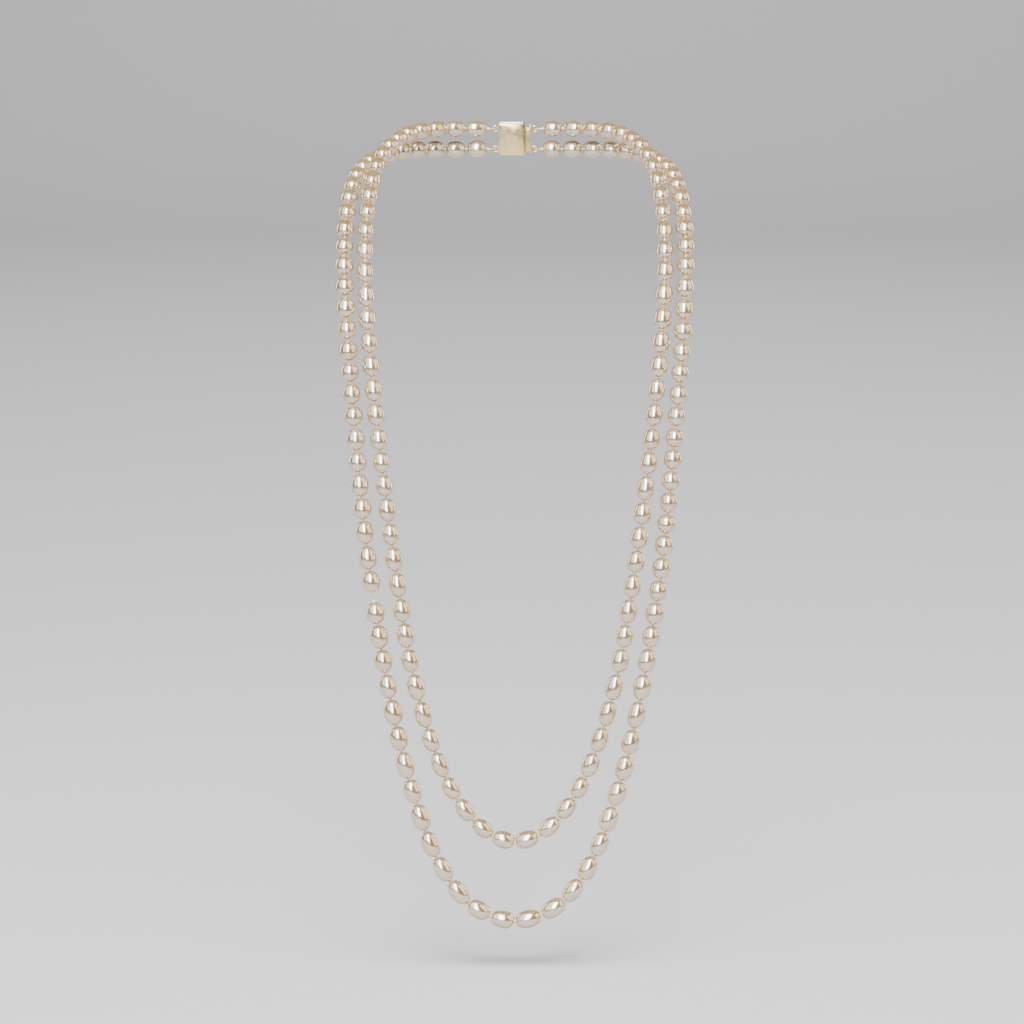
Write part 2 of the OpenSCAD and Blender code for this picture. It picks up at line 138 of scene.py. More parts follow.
def multiply(tree, a, b):
    mix = add_node(tree, "ShaderNodeMix", {"data_type": "RGBA", "blend_type": "MULTIPLY"})
    mix.inputs["Factor"].default_value = 1
    join(tree, a, mix.inputs["A"])
    join(tree, b, mix.inputs["B"])
    return mix.outputs["Result"]


def rescale(tree, value, low, high):
    node = add_node(tree, "ShaderNodeMapRange")
    set_inputs(node, {"To Min": low, "To Max": high})
    join(tree, value, node.inputs["Value"])
    return node.outputs["Result"]


def add_bump(tree, height, strength, depth, under=None):
    bump = add_node(tree, "ShaderNodeBump", Strength=strength, Distance=depth)
    join(tree, height, bump.inputs["Height"])
    if under:
        join(tree, under, bump.inputs["Normal"])
    return bump.outputs["Normal"]


# %% [markdown]
# ## The nacre
# A pearl has two looks at once: a cream body that glows a little, and over it a silvery lustre
# that mirrors the room and turns golden where it is seen edge on. One shader can't hold both
# colours, so the finish mixes a cream body shader with a silver one whose edge tint is gold. The
# skin's slow waves, growth rings and small pits are read from each pearl's own coordinates, which
# are made below with the pearl, so they stay on it when it moves.

# %% Make the nacre finish
LUSTRE_SHARE = 0.72


def nacre_skin(tree, grain):
    waves = add_noise(tree, grain, Scale=0.5, Detail=1.0)
    rings = add_noise(tree, stretch(tree, grain, (0.12, 0.12, 1.0)), Scale=1.5, Detail=2.0)
    pits = add_noise(tree, grain, Scale=2.8, Detail=4.0)
    skin = add_bump(tree, waves, 0.4, 0.2 * MM)
    skin = add_bump(tree, rings, 0.12, 0.12 * MM, skin)
    return add_bump(tree, pits, 0.08, 0.05 * MM, skin)


def nacre():
    material, tree, body = new_finish("nacre")
    grain = add_node(tree, "ShaderNodeAttribute", {"attribute_name": "grain"}).outputs["Vector"]
    tone = add_node(tree, "ShaderNodeAttribute", {"attribute_name": "tone"}).outputs["Fac"]
    clouds = add_noise(tree, grain, Scale=0.35, Detail=3.0, Roughness=0.55)
    cloud_tint = add_ramp(tree, clouds, (0.35, (1.0, 1.0, 1.0)), (0.7, (0.97, 0.92, 0.85)))
    cream = add_ramp(
        tree, tone,
        (0.0, (0.32, 0.22, 0.12)), (0.4, (0.33, 0.22, 0.10)),
        (0.75, (0.32, 0.20, 0.08)), (1.0, (0.28, 0.17, 0.07)),
    )
    silver = add_ramp(
        tree, tone,
        (0.0, (0.78, 0.70, 0.65)), (0.4, (0.80, 0.72, 0.63)),
        (0.75, (0.78, 0.69, 0.57)), (1.0, (0.75, 0.64, 0.54)),
    )
    join(tree, multiply(tree, cream, cloud_tint), body.inputs["Base Color"])
    lustre = add_node(tree, "ShaderNodeBsdfPrincipled")
    join(tree, multiply(tree, silver, cloud_tint), lustre.inputs["Base Color"])
    skin = nacre_skin(tree, grain)
    polish = rescale(tree, clouds, 0.09, 0.17)
    for shader in (body, lustre):
        join(tree, skin, shader.inputs["Normal"])
        join(tree, polish, shader.inputs["Roughness"])
    set_inputs(body, {
        "Subsurface Weight": 0.1, "Subsurface Scale": 0.8 * MM,
        "Subsurface Radius": (1.0, 0.65, 0.35),
        "Coat Weight": 0.6, "Coat Roughness": 0.05, "Coat IOR": 1.6,
    })
    set_inputs(lustre, {"Metallic": 1.0, "Specular Tint": (1.0, 0.76, 0.36, 1)})
    blend = add_node(tree, "ShaderNodeMixShader", Fac=LUSTRE_SHARE)
    join(tree, body.outputs["BSDF"], blend.inputs[1])
    join(tree, lustre.outputs["BSDF"], blend.inputs[2])
    join(tree, blend.outputs["Shader"], tree.nodes["Material Output"].inputs["Surface"])
    return material


NACRE = nacre()
print("finish:", NACRE.name, "with", len(NACRE.node_tree.nodes), "nodes")

# %% [markdown]
# ## Silk and gold
# Bead silk is a fine two-ply thread, cream with a warm gold cast, and it looks soft because its
# fibres catch light at grazing angles. Sheen does that. The gold is plated brass: metal with a
# warm colour, polished on the faces and very finely scratched by handling.


# %% Make the silk and gold finishes
def bead_silk():
    material, tree, shader = new_finish("bead_silk")
    place = add_node(tree, "ShaderNodeTexCoord").outputs["Object"]
    fibres = add_noise(tree, place, Scale=2600.0, Detail=3.0, Roughness=0.6)
    colour = add_ramp(tree, fibres, (0.3, (0.55, 0.37, 0.15)), (0.7, (0.86, 0.68, 0.38)))
    join(tree, colour, shader.inputs["Base Color"])
    join(tree, add_bump(tree, fibres, 0.5, 0.04 * MM), shader.inputs["Normal"])
    set_inputs(shader, {
        "Roughness": 0.55, "Sheen Weight": 0.6, "Sheen Roughness": 0.4,
        "Sheen Tint": (1.0, 0.9, 0.68, 1),
    })
    return material


def plated_gold(name, light, dark, scratches):
    material, tree, shader = new_finish(name)
    place = add_node(tree, "ShaderNodeTexCoord").outputs["Object"]
    wear = add_noise(tree, place, Scale=420.0, Detail=4.0, Roughness=0.6)
    lines = add_noise(tree, stretch(tree, place, (1.0, 1.0, 9.0)), Scale=900.0, Detail=5.0)
    join(tree, add_ramp(tree, wear, (0.3, dark), (0.65, light)), shader.inputs["Base Color"])
    join(tree, add_bump(tree, lines, scratches, 0.02 * MM), shader.inputs["Normal"])
    join(tree, rescale(tree, wear, 0.12, 0.34), shader.inputs["Roughness"])
    shader.inputs["Metallic"].default_value = 1.0
    return material


FINISHES = {
    "pearl": NACRE,
    "silk": bead_silk(),
    "gold": plated_gold("polished_gold", (0.95, 0.73, 0.36), (0.86, 0.60, 0.25), 0.12),
    "gold_wire": plated_gold("coiled_gold_wire", (0.97, 0.77, 0.42), (0.84, 0.60, 0.28), 0.05),
}
print("finishes:", [finish.name for finish in FINISHES.values()])

# %% [markdown]
# ## From a shape to a piece
# Every new piece is modelled with its place in its vertices. Shapes that come again and again,
# such as knots, are made once as a stamp and pressed into the piece wherever one is needed. A
# finished piece hides the node of the frame it stands for, rides on that node's body and takes
# the finish of its slot.

# %% Piece helpers
WELD = 0.002 * MM
BODY_OF = {
    node: body for body, nodes in frame["record"]["behaviour"]["bodies"].items() for node in nodes
}
SLOT_OF = {part["node"]: part["material_slot"] for part in frame["record"]["subparts"]}


def make_stamp(bm):
    bmesh.ops.recalc_face_normals(bm, faces=bm.faces)
    for face in bm.faces:
        face.smooth = True
    stamp = bpy.data.meshes.new("stamp")
    bm.to_mesh(stamp)
    bm.free()
    return stamp


def press(bm, stamp, matrix):
    pressed = stamp.copy()
    pressed.transform(matrix)
    bm.from_mesh(pressed)
    bpy.data.meshes.remove(pressed)


def finish_piece(bm, name, node):
    mesh = bpy.data.meshes.new(name)
    bm.to_mesh(mesh)
    bm.free()
    mesh.materials.append(FINISHES[SLOT_OF[node]])
    piece = bpy.data.objects.new(name, mesh)
    bpy.context.scene.collection.objects.link(piece)
    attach(piece, BODY_OF[node])
    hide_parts(node)
    return piece


def merged_copy(node):
    bm = bmesh.new()
    bm.from_mesh(frame["nodes"][node].data)
    bmesh.ops.remove_doubles(bm, verts=bm.verts, dist=WELD)
    bm.normal_update()
    return bm


def facing(start, end):
    """Carries +Z at the origin to the line from start to end."""
    return Matrix.Translation(start) @ (end - start).to_track_quat("Z", "Y").to_matrix().to_4x4()


# %% [markdown]
# ## Finding the pearls
# The frame holds each stretch of a row as one node of many loose solids. A solid is found by
# starting at any face and spreading to the faces beside it until there are no more to reach.


# %% Split a node into its solids
def solids_of(bm):
    left = set(bm.faces)
    while left:
        grow = [left.pop()]
        solid = list(grow)
        while grow:
            face = grow.pop()
            for edge in face.edges:
                for other in edge.link_faces:
                    if other in left:
                        left.discard(other)
                        grow.append(other)
                        solid.append(other)
        yield solid


# %% [markdown]
# ## Measuring a pearl
# Each solid is one drilled pearl, and its hole tells how it lies: the hole's wall is the only
# part whose faces look towards the middle, and the wall's two ends are the hole's two mouths.
# From those come the pearl's ends and its width. Its taper is the share by which its width a
# quarter of the way in from one end differs from its width a quarter in from the other.

# %% Measure one pearl
QUARTERS = (0.25, 0.75)
NEAR_QUARTER = 0.06


def middle_of(points):
    return sum(points, Vector()) / len(points)


def measure_pearl(faces, node):
    points = [v.co.copy() for v in {v for f in faces for v in f.verts}]
    low = Vector(map(min, zip(*points)))
    high = Vector(map(max, zip(*points)))
    centre = (low + high) / 2
    wall = [f for f in faces if f.normal.dot(f.calc_center_median() - centre) < 0]
    rim = [v.co for v in {v for f in wall for v in f.verts}]
    far = max(rim, key=lambda p: (p - centre).length) - centre
    start = middle_of([p for p in rim if (p - centre).dot(far) < 0])
    end = middle_of([p for p in rim if (p - centre).dot(far) > 0])
    length = (end - start).length
    axis = (end - start) / length
    spans = [((p - start).dot(axis) / length, (p - start).cross(axis).length) for p in points]
    low_r, high_r = [
        max(r for share, r in spans if abs(share - place) < NEAR_QUARTER) for place in QUARTERS
    ]
    return {
        "node": node, "start": start, "end": end, "length": length,
        "width": 2 * max(r for _, r in spans), "taper": 2 * (high_r - low_r) / (high_r + low_r),
    }


def measure_stretch(node):
    bm = merged_copy(node)
    pearls = [measure_pearl(solid, node) for solid in solids_of(bm)]
    bm.free()
    return pearls


# %% [markdown]
# ## Stringing the rows
# A row is read the way it is strung. Starting beside the left half of the clasp, the next pearl
# is always the one with a mouth nearest to the last pearl's far mouth. Each pearl is turned so
# that its start is the mouth that comes first.

# %% String each row
ROWS = ("inner", "outer")
STRETCHES = [n for n in sorted(frame["nodes"]) if n.endswith("_pearls")]
clasp_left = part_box("box_bullion")[0]


def string_row(row):
    loose = [p for node in STRETCHES if node.startswith(row) for p in measure_stretch(node)]
    strung, here = [], clasp_left
    while loose:
        reach = [min((p["start"] - here).length, (p["end"] - here).length) for p in loose]
        pearl = loose.pop(reach.index(min(reach)))
        if (pearl["end"] - here).length < (pearl["start"] - here).length:
            pearl["start"], pearl["end"] = pearl["end"], pearl["start"]
            pearl["taper"] = -pearl["taper"]
        here = pearl["end"]
        strung.append(pearl)
    return strung


strings = {row: string_row(row) for row in ROWS}
for row, pearls in strings.items():
    lengths = [p["length"] / MM for p in pearls]
    widths = [p["width"] / MM for p in pearls]
    print(row, "row:", len(pearls), "pearls", round(min(lengths), 1), "to", round(max(lengths), 1),
          "mm long and", round(min(widths), 1), "to", round(max(widths), 1), "mm wide")

# %% [markdown]
# ## Turning a pearl
# A pearl is a solid of revolution with small faults. Its half outline runs from the rim of the
# hole round the belly to the other rim, and a full spin with the hole's own wall closes it. The
# outline is an oval whose ends are made blunter by a power of its sine. It has more steps than a
# shape repeated this often mostly needs, because nacre mirrors the room and would show every
# facet. The faults come last: a slow swell that makes it a little out of round, and on some
# pearls a few shallow rings. Both fade out at the hole, where the knots sit.

# %% Model one pearl
OUTLINE_STEPS = 16
TURN_STEPS = 28
BLUNT = 0.7
HOLE_R = 0.45 * MM
RIM_R = 0.13 * MM
SWELL = 0.035
SWELLS_PER_MM = 0.16
RING_DEPTH = 0.02
RINGS_PER_MM = 0.9
RINGED_ONE_IN = 5
APART = Vector((3.7, 1.9, 5.3))


def outline_of(pearl):
    length, half_w = pearl["length"], pearl["width"] / 2
    first = math.asin((HOLE_R + RIM_R) / half_w)
    turns = [first + (math.pi - 2 * first) * k / OUTLINE_STEPS for k in range(OUTLINE_STEPS + 1)]
    belly = [
        (
            half_w * math.sin(t) ** BLUNT * (1 - pearl["taper"] * math.cos(t)),
            -length / 2 * math.cos(t),
        )
        for t in turns
    ]
    return [(HOLE_R, belly[0][1] + RIM_R)] + belly + [(HOLE_R, belly[-1][1] - RIM_R)]


def turn_pearl(pearl):
    bm = bmesh.new()
    rim = [bm.verts.new((r, 0, z)) for r, z in outline_of(pearl)]
    edges = [bm.edges.new(pair) for pair in zip(rim, rim[1:] + rim[:1])]
    bmesh.ops.spin(
        bm, geom=rim + edges, cent=(0, 0, 0), axis=(0, 0, 1), angle=2 * math.pi,
        steps=TURN_STEPS, use_merge=True,
    )
    return bm


def add_faults(bm, pearl, number):
    grain = bm.verts.layers.float_vector.new("grain")
    tone = bm.verts.layers.float.new("tone")
    own = APART * number
    own_tone = 0.5 + 0.5 * noise.noise(own)
    ring_depth = RING_DEPTH if number % RINGED_ONE_IN == 0 else 0
    for v in bm.verts:
        local = v.co / MM
        open_belly = max(0.0, 1 - (2 * v.co.z / pearl["length"]) ** 2)
        swell = SWELL * noise.noise(local * SWELLS_PER_MM + own)
        ring = ring_depth * noise.noise(Vector((0, 0, local.z * RINGS_PER_MM)) + own)
        share = 1 + (swell + ring) * open_belly
        v.co = Vector((v.co.x * share, v.co.y * share, v.co.z))
        v[grain] = local + own
        v[tone] = own_tone


print("outline of the first pearl:", len(outline_of(strings["inner"][0])), "points")

# %% [markdown]
# ## Pearls by the stretch
# The pearls of a stretch move together, so they are one piece. Each pearl is turned at the
# origin, given its faults and tone, and stamped between its own two ends. Each is spun about the
# thread by a fixed angle more than the one before, so that neighbours show different sides.

# %% Turn all the pearls of each stretch
TWIST = 2.4


def pearl_stretch(node, numbered):
    bm = bmesh.new()
    for number, pearl in numbered:
        turned = turn_pearl(pearl)
        add_faults(turned, pearl, number)
        middle = Matrix.Translation((0, 0, pearl["length"] / 2))
        spin = Matrix.Rotation(number * TWIST, 4, "Z")
        stamp = make_stamp(turned)
        press(bm, stamp, facing(pearl["start"], pearl["end"]) @ middle @ spin)
        bpy.data.meshes.remove(stamp)
    return finish_piece(bm, node.replace("_pearls", "_nacre"), node)


numbered = list(enumerate((p for row in ROWS for p in strings[row]), start=1))
for node in STRETCHES:
    piece = pearl_stretch(node, [(k, p) for k, p in numbered if p["node"] == node])
    print(piece.name, len(piece.data.polygons), "faces")

# %% [markdown]
# ## Thread, plies and knots
# Inside a pearl the silk can't be seen, so there it is a plain core. In the gaps it is two plies
# twisted round each other: a round section set off from the axis and spun up along it. A knot is
# three turns of thread leaning over each other. The knots where a row folds lie across the
# thread instead, because the row turns about them.

# %% Make the silk stamps
CORE_R = 0.29 * MM
PLY_R = 0.17 * MM
PLY_OFF = 0.145 * MM
TURN_LENGTH = 1.3 * MM
PLY_STEPS_PER_TURN = 8
PLY_SIDES = 6
KNOT_R = 0.43 * MM
KNOT_THREAD_R = 0.22 * MM
FOLD_KNOT_R = 0.36 * MM


def section(bm, r, offset, segments=PLY_SIDES):
    ring = bmesh.ops.create_circle(bm, cap_ends=False, radius=r, segments=segments)["verts"]
    bmesh.ops.translate(bm, verts=ring, vec=offset)
    return ring + list({e for v in ring for e in v.link_edges})


def ring_stamp(ring_r, wire_r, steps=10, segments=PLY_SIDES):
    bm = bmesh.new()
    ring = section(bm, wire_r, (ring_r, 0, 0), segments)
    corners = [g for g in ring if isinstance(g, bmesh.types.BMVert)]
    upright = Matrix.Rotation(math.pi / 2, 3, "X")
    bmesh.ops.rotate(bm, verts=corners, cent=(ring_r, 0, 0), matrix=upright)
    bmesh.ops.spin(
        bm, geom=ring, cent=(0, 0, 0), axis=(0, 0, 1), angle=2 * math.pi, steps=steps, use_merge=True
    )
    return make_stamp(bm)


def core_stamp():
    bm = bmesh.new()
    bmesh.ops.create_cone(
        bm, cap_ends=True, segments=8, radius1=CORE_R, radius2=CORE_R, depth=1,
        matrix=Matrix.Translation((0, 0, 0.5)),
    )
    return make_stamp(bm)


CORE = core_stamp()
KNOT_TURN = ring_stamp(KNOT_R, KNOT_THREAD_R)
FOLD_TURN = ring_stamp(FOLD_KNOT_R, KNOT_THREAD_R)
print("one turn of a knot:", len(KNOT_TURN.polygons), "faces")

# %% [markdown]
# ## Laying silk along a line
# Silk is laid between two points by pressing a stamp along the line between them. The core is
# one stamp drawn out to length. Plies are spun afresh for each gap, because their twist has to
# stay the same in a short gap and a long one. A knot is pressed where it is tied.

# %% Lay silk along a line
KNOT_LEAN = math.radians(24)
KNOT_LIFT = 0.13 * MM
FOLD_TURNS = 4
FOLD_TURN_PITCH = 0.28 * MM
FOLD_HEART_L = 1 * MM
FOLD_HEART_WIDER = 1.3


def lay_core(bm, start, end):
    press(bm, CORE, facing(start, end) @ Matrix.Diagonal((1, 1, (end - start).length, 1)))


def lay_plies(bm, start, end):
    length = (end - start).length
    turns = length / TURN_LENGTH
    steps = max(2, math.ceil(turns * PLY_STEPS_PER_TURN))
    twisted = bmesh.new()
    for side in (-1, 1):
        bmesh.ops.spin(
            twisted, geom=section(twisted, PLY_R, (side * PLY_OFF, 0, 0)), cent=(0, 0, 0),
            axis=(0, 0, 1), dvec=(0, 0, length / steps), angle=2 * math.pi * turns, steps=steps,
        )
    bmesh.ops.holes_fill(twisted, edges=twisted.edges, sides=PLY_SIDES)
    stamp = make_stamp(twisted)
    press(bm, stamp, facing(start, end))
    bpy.data.meshes.remove(stamp)


def tie_knot(bm, place, ahead):
    seat = facing(place, ahead)
    for lift, axis in ((-KNOT_LIFT, "X"), (0, "Y"), (KNOT_LIFT, "X")):
        lean = Matrix.Rotation(KNOT_LEAN, 4, axis)
        press(bm, KNOT_TURN, seat @ Matrix.Translation((0, 0, lift)) @ lean)


def tie_fold_knot(bm, place):
    across = facing(place, place + Vector((1, 0, 0)))
    for k in range(FOLD_TURNS):
        shift = (k - (FOLD_TURNS - 1) / 2) * FOLD_TURN_PITCH
        press(bm, FOLD_TURN, across @ Matrix.Translation((0, 0, shift)))
    centred = Matrix.Translation((0, 0, -FOLD_HEART_L / 2))
    wider = Matrix.Diagonal((FOLD_HEART_WIDER, FOLD_HEART_WIDER, FOLD_HEART_L, 1))
    press(bm, CORE, across @ centred @ wider)


# %% [markdown]
# ## Whose silk a knot is
# Each stretch of silk carries the knots between its own pearls. A knot at a fold belongs to the
# stretch nearer the clasp, because the lower one turns about it. The right shoulder is the other
# way round: the rows part there when the clasp is drawn open, and the knot stays on the drape.

# %% Lay each row's silk
NEARNESS = ("nape", "upper", "middle", "lower")
LONG_GAP = 2 * MM
KNOT_TO_PEARL = 0.5 * MM


def nearness(node):
    return next(k for k, word in enumerate(NEARNESS) if word in node)


def owner_of(before, after):
    if "nape_right" in after:
        return before if "upper_right" in before else after
    return min((before, after), key=nearness)


def lay_row(row, threads):
    pearls = strings[row]
    for pearl in pearls:
        lay_core(threads[pearl["node"]], pearl["start"], pearl["end"])
    for before, after in zip(pearls, pearls[1:]):
        start, end = before["end"], after["start"]
        owner = threads[owner_of(before["node"], after["node"])]
        lay_plies(owner, start, end)
        if before["node"] != after["node"]:
            tie_fold_knot(owner, (start + end) / 2)
        elif (end - start).length > LONG_GAP:
            tie_knot(owner, end + (start - end).normalized() * KNOT_TO_PEARL, end)
        else:
            tie_knot(owner, (start + end) / 2, end)


threads = {node: bmesh.new() for node in STRETCHES}
for row in ROWS:
    lay_row(row, threads)
print("silk laid through", len(threads), "stretches")

# %% [markdown]
# ## Silk at the clasp
# At each end of a row the silk passes through an eyelet and back on itself. The loop is sheathed
# by a tube of coiled wire, so a plain closed ring does for it, with two plies and a knot from
# there to the first pearl. The ring's centre is read from the coiled tube's node.

# %% Loop the silk round the eyelets
LOOP_SILK_R = 0.22 * MM
BULLION_R = 1.1 * MM
BULLION_TUBE_R = 0.38 * MM
silk_ring = ring_stamp(BULLION_R, LOOP_SILK_R, steps=28)


def loops_of(node):
    """The centres of a node's lower and upper wire loop, and which side of the clasp it is on."""
    low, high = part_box(node)
    side = -1 if high.x < 0 else 1
    inner_x = high.x if side < 0 else low.x
    x = inner_x + side * (BULLION_R + BULLION_TUBE_R)
    levels = (low.z + BULLION_TUBE_R, high.z - BULLION_TUBE_R)
    return [Vector((x, (low.y + high.y) / 2, z)) for z in levels], side


def loop_ends(node, nape):
    places, side = loops_of(node)
    for row, place in zip(("outer", "inner"), places):
        thread = threads[f"{row}_nape_{nape}_pearls"]
        mouth = strings[row][0]["start"] if side < 0 else strings[row][-1]["end"]
        loop_end = place + Vector((side * BULLION_R, 0, 0))
        press(thread, silk_ring, Matrix.Translation(place))
        lay_plies(thread, loop_end, mouth)
        tie_knot(thread, mouth + (loop_end - mouth).normalized() * KNOT_TO_PEARL, mouth)


loop_ends("box_bullion", "left")
loop_ends("tongue_bullion", "right")
for node, thread in threads.items():
    silk_node = node.replace("_pearls", "_silk")
    piece = finish_piece(thread, silk_node.replace("_silk", "_knotted_silk"), silk_node)
    print(piece.name, len(piece.data.polygons), "faces")

# %% [markdown]
# ## Coiled wire
# Bullion is wire wound into a tiny spring, which can be threaded and bent round. Its coils are
# modelled as closed rings set close together along the bend: they look the same and stay light.
# The bend is open towards the row, where the silk comes out.

# %% Model the coiled wire
COIL_R = 0.295 * MM
COIL_WIRE_R = 0.085 * MM
COILS = 32
MOUTH = math.radians(76)
coil = ring_stamp(COIL_R, COIL_WIRE_R, segments=5)


def bullion(node):
    bm = bmesh.new()
    places, side = loops_of(node)
    first = MOUTH / 2 + (math.pi if side < 0 else 0)
    for place in places:
        for k in range(COILS):
            turn = Matrix.Rotation(first + (2 * math.pi - MOUTH) * k / (COILS - 1), 4, "Z")
            out = Matrix.Translation((BULLION_R, 0, 0)) @ Matrix.Rotation(math.pi / 2, 4, "X")
            press(bm, coil, Matrix.Translation(place) @ turn @ out)
    return finish_piece(bm, node + "_coils", node)


for node in ("box_bullion", "tongue_bullion"):
    print(node, len(bullion(node).data.polygons), "faces")

# %% [markdown]
# ## Eyelets
# An eyelet is a wire ring on a short post that is soldered to the clasp. The ring is one stamp,
# turned once and stood upright. The post is a cone that is a little wider at its foot, as solder
# leaves it.

# %% Model the eyelets
EYELET_R = 1.2 * MM
EYELET_WIRE_R = 0.35 * MM
POST_L = 0.45 * MM
POST_FOOT_R = 1.25 * EYELET_WIRE_R
POST_TOP_R = 0.9 * EYELET_WIRE_R
eyelet_ring = ring_stamp(EYELET_R, EYELET_WIRE_R, steps=40, segments=14)


def eyelets(node):
    low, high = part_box(node)
    side = -1 if high.x < 0 else 1
    reach = EYELET_R + EYELET_WIRE_R
    base = high.x if side < 0 else low.x
    x = (low.x if side < 0 else high.x) - side * reach
    y = (low.y + high.y) / 2
    bm = bmesh.new()
    for z in (low.z + reach, high.z - reach):
        upright = Matrix.Translation((x, y, z)) @ Matrix.Rotation(math.pi / 2, 4, "X")
        press(bm, eyelet_ring, upright)
        root = Vector((base, y, z))
        post = facing(root, root + Vector((side, 0, 0))) @ Matrix.Translation((0, 0, POST_L / 2))
        bmesh.ops.create_cone(
            bm, cap_ends=True, segments=20, radius1=POST_FOOT_R, radius2=POST_TOP_R,
            depth=POST_L, matrix=post,
        )
    return finish_piece(bm, node + "_wire", node)


for node in ("box_eyelets", "tongue_eyelets"):
    print(node, len(eyelets(node).data.polygons), "faces")

# %% [markdown]
# ## The clasp's pressed pieces
# The box, tongue, spring leaf and tab are pressed from sheet. Their solids are right but their
# edges are knife sharp, so each is copied, its flat faces are joined up, and every sharp edge
# gets a small round bevel that catches the light.

# %% Round the pressed pieces' edges
SHARP = math.radians(40)
FLAT = math.radians(1)


def soften(bm, bevel):
    bmesh.ops.dissolve_limit(bm, angle_limit=FLAT, verts=bm.verts, edges=bm.edges)
    sharp = [e for e in bm.edges if len(e.link_faces) == 2 and e.calc_face_angle() > SHARP]
    bmesh.ops.bevel(
        bm, geom=sharp, offset=bevel, segments=2, profile=0.5, affect="EDGES", material=-1
    )
    for face in bm.faces:
        face.smooth = True
    for edge in bm.edges:
        edge.smooth = len(edge.link_faces) != 2 or edge.calc_face_angle() < SHARP


def pressed_piece(node, bevel):
    bm = merged_copy(node)
    soften(bm, bevel)
    return finish_piece(bm, node + "_pressed", node)


BEVELS_MM = {"clasp_box": 0.08, "tongue_plate": 0.06, "spring_leaf": 0.05, "thumb_tab": 0.08}
for node, bevel in BEVELS_MM.items():
    print(node, len(pressed_piece(node, bevel * MM).data.polygons), "faces")

# %% [markdown]
# ## The clasp's cover
# The cover is what is seen of the clasp, so it is worked up: a plate with a raised panel, a
# border of tiny beads round it, and fine flutes down the panel. Beads and flutes are stamps too.

# %% Dress the cover
COVER_BEVEL = 0.06 * MM
BEAD_R = 0.24 * MM
BEAD_GAP = 0.56 * MM
BEAD_INSET = 0.6 * MM
BEAD_SINK = 0.33 * MM
FLUTES = 7
FLUTE_R = 0.32 * MM
FLUTE_INSET = 2.3 * MM


def ball_stamp(r):
    bm = bmesh.new()
    bmesh.ops.create_icosphere(bm, subdivisions=2, radius=r)
    return make_stamp(bm)


def flute_stamp(length):
    bm = bmesh.new()
    bmesh.ops.create_cone(
        bm, cap_ends=True, segments=12, radius1=FLUTE_R, radius2=FLUTE_R, depth=length
    )
    ball = ball_stamp(FLUTE_R)
    for end in (-1, 1):
        press(bm, ball, Matrix.Translation((0, 0, end * length / 2)))
    return make_stamp(bm)


def press_beads(bm, low, high):
    x0, x1 = low.x + BEAD_INSET, high.x - BEAD_INSET
    z0, z1 = low.z + BEAD_INSET, high.z - BEAD_INSET
    y = high.y - BEAD_SINK
    corners = [Vector((x, y, z)) for x, z in ((x0, z0), (x1, z0), (x1, z1), (x0, z1))]
    bead = ball_stamp(BEAD_R)
    for a, b in zip(corners, corners[1:] + corners[:1]):
        count = round((b - a).length / BEAD_GAP)
        for k in range(count):
            press(bm, bead, Matrix.Translation(a.lerp(b, k / count)))


def press_flutes(bm, low, high):
    x0, x1 = low.x + FLUTE_INSET, high.x - FLUTE_INSET
    flute = flute_stamp(high.z - low.z - 2 * FLUTE_INSET - 2 * FLUTE_R)
    for k in range(FLUTES):
        x = x0 + (x1 - x0) * k / (FLUTES - 1)
        press(bm, flute, Matrix.Translation((x, high.y - FLUTE_R / 2, (low.z + high.z) / 2)))


def dressed_cover():
    low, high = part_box("clasp_cover")
    bm = merged_copy("clasp_cover")
    soften(bm, COVER_BEVEL)
    press_beads(bm, low, high)
    press_flutes(bm, low, high)
    return finish_piece(bm, "clasp_cover_dressed", "clasp_cover")


print("cover:", len(dressed_cover().data.polygons), "faces")

# %% [markdown]
# ## The room
# The necklace is shown over a plain pale sweep: a floor that curves up into a wall, so that no
# corner shows behind it. One edge is drawn back as the floor, spun up a quarter turn and drawn
# up as the wall. The wall stands well back, so that the necklace can be seen from behind too.

# %% Build the sweep
FLOOR_Z = -0.335
WALL_Y = 2.9
SWEEP_R = 0.8
SWEEP_HALF = 3.4
SWEEP_FRONT = -3.2
WALL_H = 2.2
BEND_STEPS = 24


def pull(bm, edges, offset):
    grown = bmesh.ops.extrude_edge_only(bm, edges=edges)["geom"]
    corners = [g for g in grown if isinstance(g, bmesh.types.BMVert)]
    bmesh.ops.translate(bm, verts=corners, vec=offset)
    return [g for g in grown if isinstance(g, bmesh.types.BMEdge)]


def sweep():
    bm = bmesh.new()
    ends = [bm.verts.new((side * SWEEP_HALF, SWEEP_FRONT, FLOOR_Z)) for side in (-1, 1)]
    edge = pull(bm, [bm.edges.new(ends)], (0, WALL_Y - SWEEP_R - SWEEP_FRONT, 0))
    bend = bmesh.ops.spin(
        bm, geom=edge + list(edge[0].verts), cent=(0, WALL_Y - SWEEP_R, FLOOR_Z + SWEEP_R),
        axis=(1, 0, 0), angle=math.pi / 2, steps=BEND_STEPS,
    )["geom_last"]
    pull(bm, [g for g in bend if isinstance(g, bmesh.types.BMEdge)], (0, 0, WALL_H))
    bmesh.ops.remove_doubles(bm, verts=bm.verts, dist=MM)
    for face in bm.faces:
        face.smooth = True
    mesh = bpy.data.meshes.new("sweep")
    bm.to_mesh(mesh)
    bm.free()
    backdrop = bpy.data.objects.new("sweep", mesh)
    bpy.context.scene.collection.objects.link(backdrop)
    material, _, shader = new_finish("pale_sweep")
    set_inputs(shader, {"Base Color": (0.215, 0.205, 0.21, 1), "Roughness": 0.9})
    mesh.materials.append(material)
    return backdrop


print("sweep:", len(sweep().data.polygons), "faces")

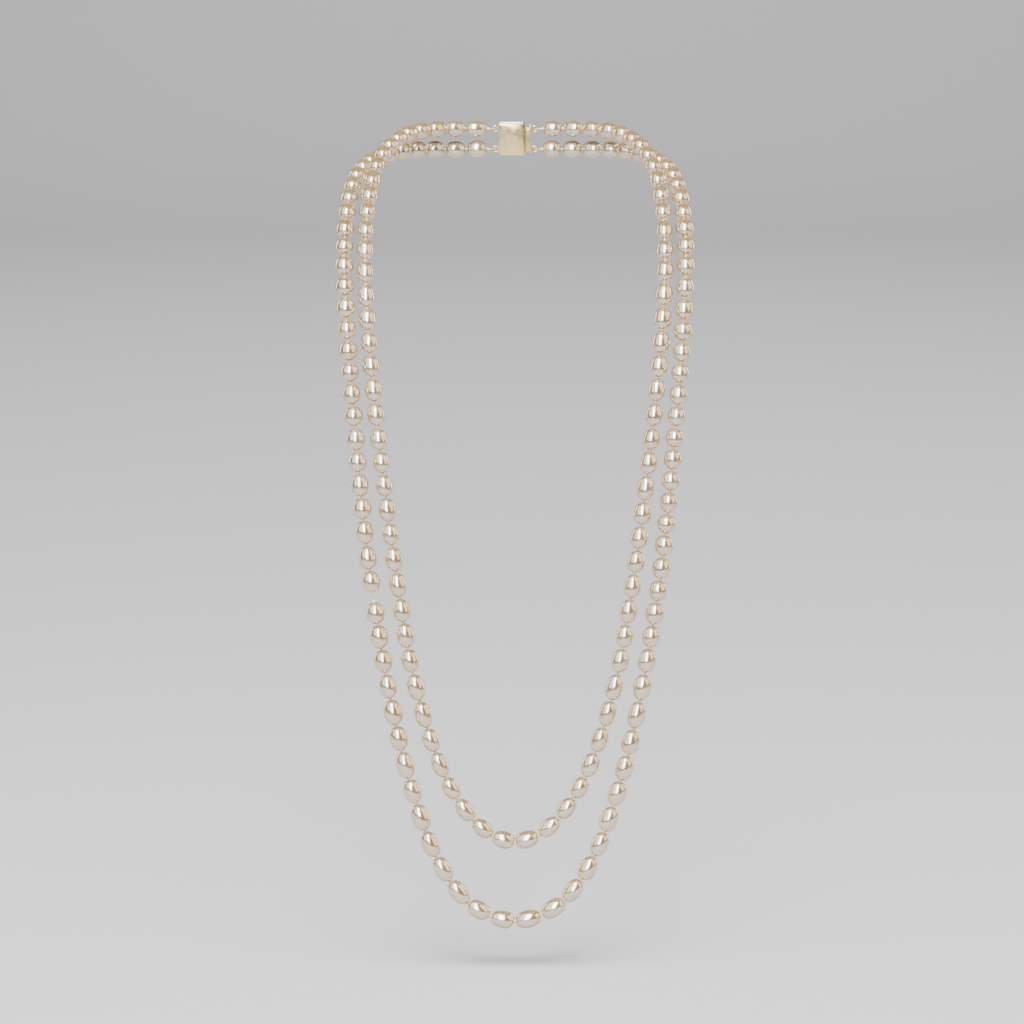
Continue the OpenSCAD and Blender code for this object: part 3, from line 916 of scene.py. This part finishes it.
# %% [markdown]
# ## The lights on the necklace
# Nacre is judged by what it mirrors, so the lights matter. A tall narrow box, high in front and a
# little to the left, lays a sharp silver streak on every pearl. A wide dimmer box on the left and
# a warm one on the right shape the rest, and the dark between the boxes draws the thin grey lines
# beside the streak. Low warm boxes behind on both sides give the pearls their cream rims. No box
# is seen by the camera, only its light and its mirror image.

# %% Hang the soft boxes
COOL = (0.80, 0.90, 1.0)
WARM = (1.0, 0.86, 0.66)
PLAIN = (1, 1, 1)


def soft_box(name, azimuth, elevation, distance, size, power, colour=PLAIN, target=aim):
    """Hangs a box at two angles, in degrees, and a distance from the aim point."""
    width, height = size
    light = bpy.data.objects.new(name, bpy.data.lights.new(name, "AREA"))
    light.data.shape = "RECTANGLE"
    light.data.size = width
    light.data.size_y = height
    light.data.energy = power
    light.data.color = colour
    light.visible_camera = False
    a, e = math.radians(azimuth), math.radians(elevation)
    out = Vector((math.sin(a) * math.cos(e), -math.cos(a) * math.cos(e), math.sin(e)))
    light.location = aim + out * distance
    light.rotation_euler = (target - light.location).to_track_quat("-Z", "Y").to_euler()
    bpy.context.scene.collection.objects.link(light)
    return light


soft_box(
    "key_box", azimuth=-9, elevation=41, distance=2.4, size=(1.15, 3.3), power=190, colour=COOL
)
soft_box(
    "left_box", azimuth=-50, elevation=40, distance=2.2, size=(2.25, 3.0), power=50, colour=COOL
)
soft_box(
    "right_box", azimuth=72, elevation=30, distance=2.2, size=(1.9, 2.2), power=27, colour=WARM
)
for name, azimuth, power in (("left_rim", -125, 8), ("right_rim", 125, 10)):
    soft_box(name, azimuth, elevation=8, distance=1.4, size=(0.5, 1.3), power=power, colour=WARM)
print("soft boxes:", [light.name for light in bpy.data.lights])

# %% [markdown]
# ## The lights on the room
# Two more boxes light the sweep: one the floor in front, which is kept narrow by its spread, and
# one the foot of the wall. They are left out of mirrored images, so the pearls don't show them.
# A dim grey air fills the shadows.

# %% Light the sweep and the air
FLOOR_FRONT = Vector((0, -0.35, FLOOR_Z))
FOOT_OF_WALL = Vector((0.3, WALL_Y - 0.2, FLOOR_Z + 0.1))
FLOOR_SPREAD = math.radians(90)


def light_air():
    world = bpy.data.worlds.new("studio_air")
    bpy.context.scene.world = world
    world.use_nodes = True
    air = world.node_tree.nodes["Background"]
    set_inputs(air, {"Color": (0.40, 0.39, 0.38, 1), "Strength": 0.22})
    return world


floor_box = soft_box(
    "floor_box", azimuth=0, elevation=72, distance=1.6, size=(1.5, 1.2), power=60,
    target=FLOOR_FRONT,
)
floor_box.data.spread = FLOOR_SPREAD
backdrop_box = soft_box(
    "backdrop_box", azimuth=175, elevation=50, distance=1.8, size=(2.4, 1.0), power=110,
    target=FOOT_OF_WALL,
)
for box in (floor_box, backdrop_box):
    box.visible_glossy = False
print("room lights:", floor_box.name, backdrop_box.name, light_air().name)
